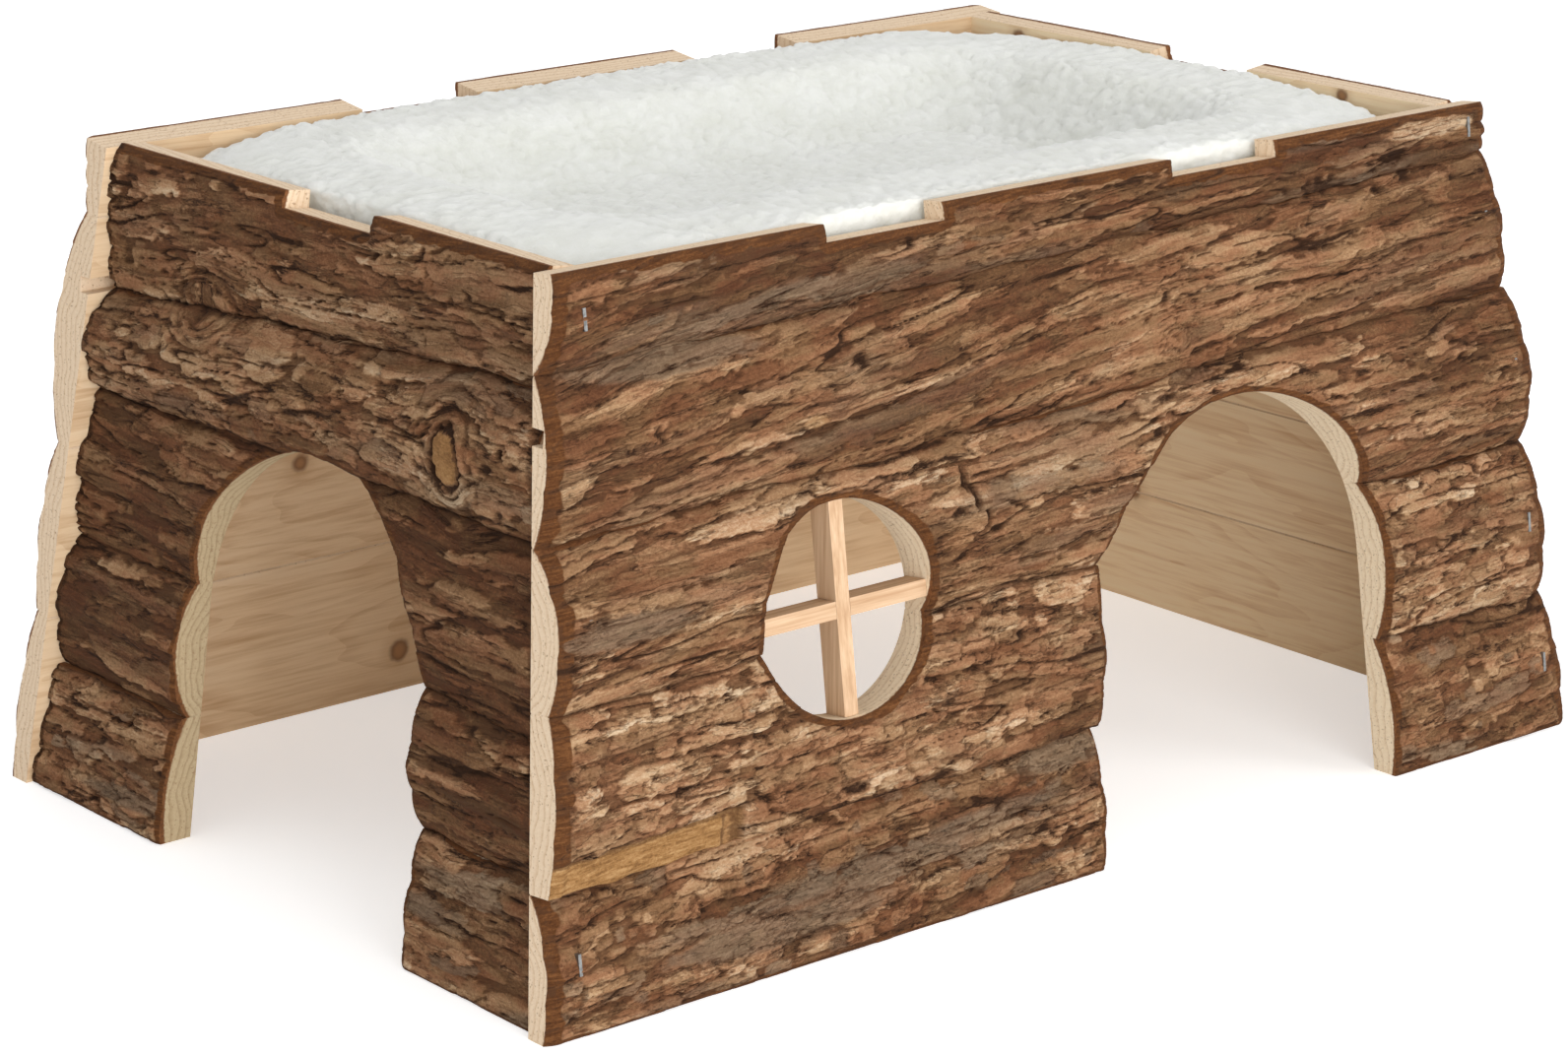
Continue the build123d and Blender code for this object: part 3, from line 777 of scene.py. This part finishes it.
def dress_slab(piece, slab, node):
    """Give a carved slab its colouring fields, materials and place in the frame."""
    mesh = piece.data
    u, v, w = slab.wall.local(points_of(mesh)).T
    for name in ("tone", "weather", "rim", "raw", "bare"):
        put_field(mesh, name, slab.sample(getattr(slab, name), u, v))
    axis_v, axis_w, radius = (np.interp(u, slab.u, line) for line in (slab.axis_v, slab.axis_w, slab.radius))
    put_field(mesh, "grain", np.stack([u + slab.row * far, v - axis_v, w - axis_w], -1))
    along, across = (slab.sample(field, u, v) for field in (slab.along, slab.across))
    stretch = 0.25 + 0.75 * slab.flake_share
    patch = 40 * slab.row + 7 * len(slab.wall.name)
    put_field(mesh, "flow", np.stack([along / stretch, across, 0 * u + patch], -1))
    put_field(mesh, "radius", radius)
    indices = np.empty(len(mesh.polygons), dtype=np.int32)
    mesh.polygons.foreach_get("material_index", indices)
    mesh.polygons.foreach_set("use_smooth", indices == bark_face)
    mesh.materials.clear()
    # The right wall's inside takes a paler planed pine as painted light
    inside = planed_painted_light if slab.wall.name == "right" else planed
    # The left wall's arch faces take a darker routed pine as painted shade
    jamb = routed_painted_shade if slab.wall.name == "left" else routed
    for material in (bark, inside, sawn, jamb):
        mesh.materials.append(material)
    mesh.polygons.foreach_set("material_index", indices)
    mesh.update()
    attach(piece, "house")
    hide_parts(node)


# Materials


def srgb(*values):
    """Linear colour of three sRGB numbers from 0 to 255."""
    def linear(c):
        return c / 12.92 if c <= 0.04045 else ((c + 0.055) / 1.055) ** 2.4
    return (*(linear(c / 255) for c in values), 1.0)


class Paint:
    """A new material or world, and short ways to add nodes to it."""

    def __init__(self, name, kind=bpy.data.materials):
        self.owner = kind.new(name)
        self.owner.use_nodes = True
        self.tree = self.owner.node_tree

    def put(self, socket, value):
        if isinstance(value, bpy.types.NodeSocket):
            self.tree.links.new(value, socket)
        else:
            socket.default_value = value

    def node(self, kind, output=0, inputs=None, **settings):
        node = self.tree.nodes.new(f"ShaderNode{kind}")
        for key, value in settings.items():
            setattr(node, key, value)
        for key, value in (inputs or {}).items():
            self.put(node.inputs[key], value)
        return node.outputs[output]

    def attribute(self, name, output="Fac"):
        return self.node("Attribute", output, attribute_name=name)

    def place(self):
        return self.node("TexCoord", "Object")

    def math(self, operation, *values):
        return self.node("Math", 0, dict(enumerate(values)), operation=operation)

    def add(self, first, second):
        return self.math("ADD", first, second)

    def times(self, first, second):
        return self.math("MULTIPLY", first, second)

    def scaled(self, value, gain, offset):
        return self.math("MULTIPLY_ADD", value, gain, offset)

    def vector(self, operation, *values, output=0):
        return self.node("VectorMath", output, dict(enumerate(values)), operation=operation)

    def noise(self, place, scale, detail, roughness, distortion=0.0):
        return self.node("TexNoise", "Fac", {
            "Vector": place, "Scale": scale, "Detail": detail, "Roughness": roughness,
            "Distortion": distortion})

    def grained(self, place, stretch, detail, roughness, distortion=0.0):
        """Noise that is scaled by its own number along each axis."""
        return self.noise(self.vector("MULTIPLY", place, stretch), 1.0, detail, roughness, distortion)

    def band(self, value, low, high, to_low=0.0, to_high=1.0):
        return self.node("MapRange", 0, {
            "Value": value, "From Min": low, "From Max": high, "To Min": to_low, "To Max": to_high},
            interpolation_type="SMOOTHSTEP")

    def ramp(self, value, *stops):
        """Colours between stops, each a place from 0 to 1 and three sRGB numbers."""
        node = self.tree.nodes.new("ShaderNodeValToRGB")
        points = node.color_ramp.elements
        while len(points) < len(stops):
            points.new(0.5)
        for point, (place, *colour) in zip(points, stops):
            point.position, point.color = place, srgb(*colour)
        self.put(node.inputs[0], value)
        return node.outputs[0]

    def mix(self, share, first, second):
        node = self.tree.nodes.new("ShaderNodeMix")
        node.data_type = "RGBA"
        for k, value in ((0, share), (6, first), (7, second)):
            self.put(node.inputs[k], value)
        return node.outputs[2]

    def bump(self, height, strength, distance):
        return self.node("Bump", 0, {"Height": height, "Strength": strength, "Distance": distance})

    def shown(self):
        """One for what the camera sees itself, in a mirror or through glass, and zero for other light."""
        path = self.tree.nodes.new("ShaderNodeLightPath").outputs
        seen = self.math("MAXIMUM", path["Is Camera Ray"], path["Is Glossy Ray"])
        return self.math("MAXIMUM", seen, path["Is Transmission Ray"])

    def finish(self, colour, roughness, normal=None, **uniform):
        sockets = self.tree.nodes["Principled BSDF"].inputs
        self.put(sockets["Base Color"], colour)
        self.put(sockets["Roughness"], roughness)
        if normal is not None:
            self.put(sockets["Normal"], normal)
        for name, value in uniform.items():
            sockets[name.replace("_", " ")].default_value = value
        return self.owner


def bark_material():
    """Flakes as the slabs' fields give them, broken up by finer scales, fibres and specks."""
    paint = Paint("bark")
    grain = paint.attribute("grain", "Vector")
    flow = paint.attribute("flow", "Vector")
    fibre = paint.grained(flow, (0.07, 1.1, 1.0), 4.0, 0.62, 0.3)
    fine = paint.grained(grain, (0.9, 1.3, 1.3), 5.0, 0.85)
    mottle = paint.grained(grain, (0.06, 0.16, 0.16), 3.0, 0.6)
    tone = paint.add(paint.attribute("tone"), paint.scaled(fibre, 0.55, -0.275))
    rim = paint.attribute("rim")
    height = paint.add(paint.times(fibre, 0.5), paint.times(fine, 0.7))
    kept = paint.math("SUBTRACT", 1.0, paint.math("MAXIMUM", paint.attribute("raw"), paint.attribute("bare")))
    for size, light, lift in (((0.015, 0.11, 1.0), 0.24, 0.9), ((0.045, 0.30, 1.7), 0.09, 0.45)):
        scale = paint.grained(flow, size, 6.0, 0.62, 0.2)
        top = paint.times(paint.band(scale, 0.505, 0.52), kept)
        # A painted shadow line darkens the bark just outside each raised scale
        lip_shadow = paint.times(paint.band(scale, 0.468, 0.5), paint.band(scale, 0.5, 0.507, 1.0, 0.0))
        broken = paint.band(paint.grained(flow, (0.05, 0.2, 2.0), 2.0, 0.5), 0.38, 0.6)
        lip_shadow = paint.times(paint.times(lip_shadow, broken), kept)
        tone = paint.add(tone, paint.scaled(top, light, -0.5 * light))
        rim = paint.math("SUBTRACT", rim, paint.times(lip_shadow, 0.1 + 2.2 * light))
        height = paint.add(height, paint.times(top, lift))
    speck = paint.scaled(fine, 1.6, -0.8)
    half_speck = paint.times(speck, 0.5)
    depth = paint.scaled(paint.add(tone, speck), 0.62, 0.165)
    red = paint.ramp(depth, (0.0, 80, 48, 31), (0.3, 117, 77, 51), (0.56, 151, 108, 77),
                     (0.75, 177, 135, 100), (1.0, 210, 182, 150))
    dun = paint.ramp(depth, (0.0, 82, 57, 37), (0.3, 118, 85, 57), (0.56, 153, 117, 84),
                     (0.75, 183, 148, 112), (1.0, 214, 188, 156))
    flake = paint.mix(paint.band(mottle, 0.4, 0.6), red, dun)
    rough_tone = paint.add(fibre, paint.times(speck, 0.6))
    grey = paint.ramp(rough_tone, (0.2, 84, 69, 54), (0.5, 118, 100, 81), (0.8, 150, 131, 109))
    colour = paint.mix(paint.attribute("weather"), flake, paint.mix(0.3, grey, flake))
    rusty = paint.ramp(rough_tone, (0.2, 58, 34, 18), (0.5, 94, 58, 32), (0.8, 130, 86, 50))
    raw = paint.band(paint.add(paint.attribute("raw"), half_speck), 0.35, 0.65)
    colour = paint.mix(raw, colour, rusty)
    split = paint.ramp(rough_tone, (0.25, 110, 75, 43), (0.5, 158, 117, 72), (0.75, 188, 149, 103))
    colour = paint.mix(paint.attribute("bare"), colour, split)
    # Where rim is low the colour darkens, for dark cracks and for the painted shade that rim carries
    rim = paint.add(rim, half_speck)
    under = paint.mix(0.6, colour, srgb(84, 56, 37))
    colour = paint.mix(paint.band(rim, 0.45, 0.8), under, colour)
    colour = paint.mix(paint.band(rim, 0.0, 0.38), srgb(54, 35, 23), colour)
    rough = paint.band(fine, 0.3, 0.7, 0.78, 0.95)
    return paint.finish(colour, rough, paint.bump(height, 1.0, 0.0007), Specular_IOR_Level=0.1)


def wood_rings(paint, grain):
    """Distance from the log's axis, and growth rings round it, from 0 to 1 across each ring."""
    y, z = (paint.node("SeparateXYZ", k, {0: grain}) for k in (1, 2))
    reach = paint.math("SQRT", paint.add(paint.times(y, y), paint.times(z, z)))
    wander = paint.grained(grain, (0.012, 0.05, 0.05), 2.0, 0.5)
    ring = paint.math("FRACT", paint.add(paint.times(reach, 0.42), paint.times(wander, 5.0)))
    return reach, ring


# Knots on the inside of walls: wall, place along and up it, reach, in millimetres; the photograph shows those
# of the rear and right wall, and the others are made up
front_wall, left_wall, rear_wall, right_wall = walls
inner_knots = (
    (right_wall, 40.2, 41.8, 4.2), (rear_wall, 103.8, 86.3, 3.4), (rear_wall, 62.8, 13.9, 4.0),
    (right_wall, -66.0, 195.5, 2.6), (right_wall, 80.0, 193.5, 3.4), (front_wall, 120.0, 160.0, 4.0),
    (left_wall, -80.0, 70.0, 3.6),
)
# Halo, rim and core of such a knot: where each starts to fade and ends, in reaches, its cover and colour
knot_zones = (
    (0.6, 2.4, 0.4, (190, 148, 104)), (0.6, 1.15, 0.85, (112, 72, 44)), (0.2, 0.8, 0.9, (170, 124, 82)),
)


def planed_material(name, pale, middle_tone, dark):
    """Wood planed along its grain, with the knots of the walls' insides."""
    paint = Paint(name)
    grain = paint.attribute("grain", "Vector")
    _, ring = wood_rings(paint, grain)
    late = paint.times(paint.band(ring, 0.55, 0.95), 0.10)
    streak = paint.grained(grain, (0.014, 0.55, 0.55), 5.0, 0.65)
    broad = paint.grained(grain, (0.004, 0.06, 0.06), 2.0, 0.5)
    value = paint.add(late, paint.add(paint.times(streak, 0.75), paint.times(broad, 0.45)))
    colour = paint.ramp(value, (0.25, *pale), (0.6, *middle_tone), (0.95, *dark))
    place = paint.place()
    uneven = paint.scaled(paint.noise(place, 200.0, 2.0, 0.5), 0.0024, -0.0012)
    for wall, u, v, reach in inner_knots:
        centre = tuple(wall.world(u, v, 0.0))
        apart = paint.add(paint.vector("DISTANCE", place, centre, output="Value"), uneven)
        for start, end, cover, tint in knot_zones:
            share = paint.band(apart, start * reach * mm, end * reach * mm, cover, 0.0)
            colour = paint.mix(share, colour, srgb(*tint))
    return paint.finish(colour, 0.62, paint.bump(streak, 0.25, 0.0004), Specular_IOR_Level=0.3)


def sawn_material(name, pale, middle_tone, dark):
    """Wood cut across, with its rings, and a skin of bark along its outside."""
    paint = Paint(name)
    grain = paint.attribute("grain", "Vector")
    reach, ring = wood_rings(paint, grain)
    fuzz = paint.grained(grain, (0.9, 0.9, 0.9), 4.0, 0.7)
    pores = paint.band(paint.grained(grain, (1.4, 1.4, 1.4), 1.0, 0.5), 0.62, 0.74)
    value = paint.add(paint.times(paint.band(ring, 0.5, 0.95), 0.35), paint.times(fuzz, 0.7))
    wood = paint.ramp(value, (0.2, *pale), (0.6, *middle_tone), (1.0, *dark))
    wood = paint.mix(paint.times(pores, 0.6), wood, srgb(140, 104, 70))
    depth = paint.math("SUBTRACT", paint.attribute("radius"), reach)
    skin = paint.band(paint.add(depth, paint.times(fuzz, -1.2)), 1.2, 1.8, 1.0, 0.0)
    colour = paint.mix(skin, wood, paint.ramp(fuzz, (0.3, 84, 50, 28), (0.7, 136, 90, 54)))
    return paint.finish(colour, 0.85, paint.bump(fuzz, 0.5, 0.0005), Specular_IOR_Level=0.2)


def streaked_material(name, stretch, detail, pale, dark, roughness):
    """Plain pine with streaks along its grain."""
    paint = Paint(name)
    streak = paint.grained(paint.place(), stretch, detail, 0.6)
    colour = paint.ramp(streak, (0.3, *pale), (0.7, *dark))
    return paint.finish(colour, roughness, paint.bump(streak, 0.3, 0.0004), Specular_IOR_Level=0.3)


def staple_material():
    paint = Paint("staple_wire")
    wear = paint.noise(paint.place(), 900.0, 3.0, 0.6)
    colour = paint.ramp(wear, (0.3, 112, 112, 112), (0.7, 158, 158, 156))
    rough = paint.band(wear, 0.3, 0.7, 0.35, 0.55)
    return paint.finish(colour, rough, paint.bump(wear, 0.2, 0.0001), Metallic=1.0)


def plush_material():
    paint = Paint("plush")
    place = paint.place()
    pile = paint.noise(place, 900.0, 4.0, 0.7)
    cloud = paint.noise(place, 60.0, 3.0, 0.6)
    colour = paint.ramp(cloud, (0.3, 216, 217, 209), (0.7, 226, 227, 222))
    return paint.finish(colour, 0.95, paint.bump(pile, 0.35, 0.001), Specular_IOR_Level=0.1,
                        Sheen_Weight=0.3, Sheen_Roughness=0.6, Subsurface_Weight=0.6,
                        Subsurface_Radius=(1, 1, 1), Subsurface_Scale=0.012)


bark = bark_material()
planed = planed_material("planed_pine", (243, 218, 187), (231, 201, 163), (192, 150, 108))
# A paler copy of the planed pine, with painted light for the right wall's inside
planed_painted_light = planed_material("pale_pine", (254, 238, 206), (249, 225, 188), (214, 172, 126))
sawn = sawn_material("sawn_pine", (231, 209, 182), (220, 194, 163), (188, 152, 116))
routed = sawn_material("routed_pine", (240, 222, 194), (228, 206, 174), (192, 160, 124))
# A darker copy of the routed pine, with painted shade for the left wall's arch faces
routed_painted_shade = sawn_material("weathered_pine", (196, 176, 142), (178, 156, 122), (146, 120, 88))

# Slabs, numbered from the floor up: how many of a wall its arch parts, and what the two pieces are called
parted = {"front": (2, ("left", "right")), "left": (3, ("rear", "front"))}
first_seed = 4100
for order, wall in enumerate(walls):
    cutters = wall_cutters(wall)
    parted_rows, halves = parted.get(wall.name, (0, ()))
    for row in range(len(wall.slabs)):
        slab = Slab(wall, row, first_seed + 1000 * order + 100 * row)
        node = f"{wall.name}_slab_{row + 1}"
        piece = slab_block(slab, f"bark_{node}")
        carve(piece, cutters)
        if row >= parted_rows:
            dress_slab(piece, slab, node)
            continue
        for side, half in enumerate(halves):
            part = part_of(piece, f"bark_{node}_{half}",
                           lambda p: (wall.u.dot(p / mm - wall.origin) > wall.arch) == bool(side))
            dress_slab(part, slab, f"{node}_{half}")
        bpy.data.objects.remove(piece)
    for cutter in cutters:
        bpy.data.objects.remove(cutter)


def finish_node(name, material):
    """A CAD node that keeps its shape and gets a material."""
    mesh = nodes[name].data
    mesh.materials.clear()
    mesh.materials.append(material)


lath_tones = ((212, 180, 147), (180, 143, 108))
board_tones = ((226, 198, 160), (196, 158, 114))
upright_grain, level_grain, board_grain = (900.0, 900.0, 30.0), (30.0, 900.0, 900.0), (16.0, 420.0, 420.0)
finish_node("window_bar_vertical", streaked_material("upright_lath", upright_grain, 3.0, *lath_tones, 0.7))
finish_node("window_bar_horizontal", streaked_material("level_lath", level_grain, 3.0, *lath_tones, 0.7))
finish_node("roof_board", streaked_material("pine_board", board_grain, 4.0, *board_tones, 0.65))
staple = staple_material()
finish_node("front_staples", staple)
finish_node("rear_staples", staple)


# Plush bed: its room between the walls at their top, its seat and rim, how it is blown up as cloth and how
# far a point may move then, how far its rim is lifted, and its pile; lengths are in millimetres
bed_room = (162.1, 102.6)
bed_base = 157.6
bed_rim = 195.6
bed_voxel = 6.0
bed_pressure = 4.0
swell_frames = 20
bed_swell = 4.0
bed_lift = 3.5
sag_seed = 71
pile_cell = 6.0
pile_height = 1.15
pile_fuzz = 0.55
pile_seed = 5


def plush_bed():
    """The bed's solid, blown up as cloth, pressed out to the walls, then covered in tufts."""
    source = nodes["cushion"].data.copy()
    bed = bpy.data.objects.new("plush_bed", source)
    bpy.context.collection.objects.link(bed)
    remesh = bed.modifiers.new("remesh", "REMESH")
    remesh.mode = "VOXEL"
    remesh.voxel_size = bed_voxel * mm
    settle(bed)
    start = points_of(bed.data)
    cloth = bed.modifiers.new("cloth", "CLOTH")
    cloth.settings.use_pressure = True
    cloth.settings.uniform_pressure_force = bed_pressure
    cloth.settings.effector_weights.gravity = 0.0
    for number in range(1, swell_frames + 1):
        bpy.context.scene.frame_set(number)
    settle(bed)
    bpy.context.scene.frame_set(1)
    moved = points_of(bed.data) - start
    length = np.linalg.norm(moved, axis=1, keepdims=True)
    moved *= np.minimum(1, bed_swell * mm / np.maximum(length, 1e-9))
    bed.data.vertices.foreach_set("co", (start + moved).ravel())
    points = points_of(bed.data) / mm
    bed.data.vertices.foreach_set("co", (press(points) * mm).ravel())
    divide = bed.modifiers.new("divide", "SUBSURF")
    divide.levels = divide.render_levels = 2
    settle(bed)
    tuft(bed)
    return bed


def press(points):
    """Fill out the rim towards the walls, and keep the bed flat below and inside its room."""
    x, y, z = points.T
    share = np.clip((z - bed_base) / (bed_rim - bed_base), 0, 1.1)
    push = smooth(share, 0.3, 0.7)
    gaps = [room - np.abs(value) for value, room in zip((x, y), bed_room)]
    nears = [1 - smooth(gap, 16, 40) for gap in gaps]
    corner = nears[0] * nears[1]
    for value, room, gap, near in zip((x, y), bed_room, gaps, nears):
        value += np.sign(value) * 0.9 * push * near * (1 - 0.45 * corner) * np.maximum(gap, 0)
        np.clip(value, -room, room, out=value)
    sag = 1.2 * fractal(x / 60, y / 60, sag_seed)
    z += push * (bed_lift * np.maximum(*nears) * (1 - 0.6 * corner) + sag)
    np.clip(z, bed_base + 0.2, bed_rim + 1.5, out=z)
    return np.stack([x, y, z], -1)


def tuft(bed):
    """Raise curls of pile all over the bed but for its underside."""
    mesh = bed.data
    points = points_of(mesh) / mm
    normals = np.empty(len(points) * 3)
    mesh.vertices.foreach_get("normal", normals)
    normals = normals.reshape(-1, 3)
    rise = np.empty(len(points))
    noise.seed_set(pile_seed)
    for k, (x, y, z) in enumerate(points):
        place = Vector((x, y, z)) / pile_cell
        place += 0.35 * noise.noise_vector(place * 1.3)
        near, next_near = noise.voronoi(place)[0][:2]
        curl = min((next_near - near) / 0.4, 1.0)
        rise[k] = pile_height * (curl**0.6 - 0.75) + pile_fuzz * noise.noise(Vector((x, y, z)) / 1.7)
    rise *= smooth(points[:, 2], bed_base + 1.0, bed_base + 6.0)
    points += normals * rise[:, None]
    for k, room in enumerate(bed_room):
        points[:, k] = np.clip(points[:, k], -room, room)
    mesh.vertices.foreach_set("co", (points * mm).ravel())
    mesh.update()


bed = plush_bed()
bed.data.materials.clear()
bed.data.materials.append(plush_material())
bed.data.polygons.foreach_set("use_smooth", [True] * len(bed.data.polygons))
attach(bed, "bed")
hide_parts("cushion")


# Floor, light and camera

# Half the floor's width in metres, and how strongly the floor and the surroundings shine
floor_reach = 6.0
floor_glow = 0.48
world_light = 0.7
white = (1.0, 1.0, 1.0, 1.0)


def floor_material():
    """Pale paper that keeps shadows and shows nearly white."""
    paint = Paint("studio_floor")
    paper = paint.noise(paint.place(), 300.0, 2.0, 0.5)
    paint.finish(paint.ramp(paper, (0.0, 238, 238, 238), (1.0, 242, 242, 242)), 0.9)
    surface = paint.tree.nodes["Principled BSDF"].outputs[0]
    glow = paint.node("Emission", 0, {"Color": white, "Strength": floor_glow})
    both = paint.node("AddShader", 0, {0: surface, 1: glow})
    mixed = paint.node("MixShader", 0, {0: paint.shown(), 1: surface, 2: both})
    paint.put(paint.tree.nodes["Material Output"].inputs[0], mixed)
    return paint.owner


corners = [(x * floor_reach, y * floor_reach, 0) for x, y in ((-1, -1), (1, -1), (1, 1), (-1, 1))]
floor = mesh_object("studio_floor", corners, [[0, 1, 2, 3]])
floor.data.materials.append(floor_material())

sky = Paint("studio", bpy.data.worlds)
bpy.context.scene.world = sky.owner
back = sky.tree.nodes["Background"].inputs
sky.put(back["Color"], white)
sky.put(back["Strength"], sky.band(sky.shown(), 0.0, 1.0, world_light, 1.0))


def lamp(name, place, target, size, power):
    light = bpy.data.lights.new(name, "AREA")
    light.size, light.energy = size, power
    item = bpy.data.objects.new(name, light)
    item.location = place
    item.rotation_euler = (Vector(target) - Vector(place)).to_track_quat("-Z", "Y").to_euler()
    bpy.context.collection.objects.link(item)


middle = (0, 0, 0.1)
lamp("key", (1.0, -1.5, 1.5), middle, size=0.9, power=9)
lamp("front", (-0.4, -1.9, 0.35), middle, size=1.0, power=23)
lamp("low", (-1.0, -1.6, 0.15), (0.1, 0.05, 0.05), size=0.5, power=9)
lamp("above", (0.2, 0.3, 2.0), middle, size=1.4, power=3)

# Camera of the photograph, found from the corners of the house: its place in metres, its turn, and its focal
# length and optical centre in pixels
camera_place = Vector((-0.8171, -0.9680, 0.4490))
azimuth, elevation, roll = radians(-39.374), radians(16.885), radians(-0.235)
picture_width, picture_height = 1592, 1072
focal_pixels = 4397.2
centre_x, centre_y = 753.9, 557.8

backward = Vector((sin(azimuth) * cos(elevation), -cos(azimuth) * cos(elevation), sin(elevation)))
right = Vector((0, 0, 1)).cross(backward).normalized()
upright_turn = Matrix((right, backward.cross(right), backward)).transposed()
lens = bpy.data.cameras.new("camera")
lens.sensor_width = 36.0
lens.lens = focal_pixels / picture_width * lens.sensor_width
lens.shift_x = (picture_width / 2 - centre_x) / picture_width
lens.shift_y = (centre_y - picture_height / 2) / picture_width
lens.clip_start = 0.01
camera = bpy.data.objects.new("camera", lens)
turn = (upright_turn @ Matrix.Rotation(roll, 3, "Z")).to_4x4()
camera.matrix_world = Matrix.Translation(camera_place) @ turn
bpy.context.collection.objects.link(camera)
bpy.context.scene.camera = camera
bpy.context.scene.view_settings.view_transform = "Standard"
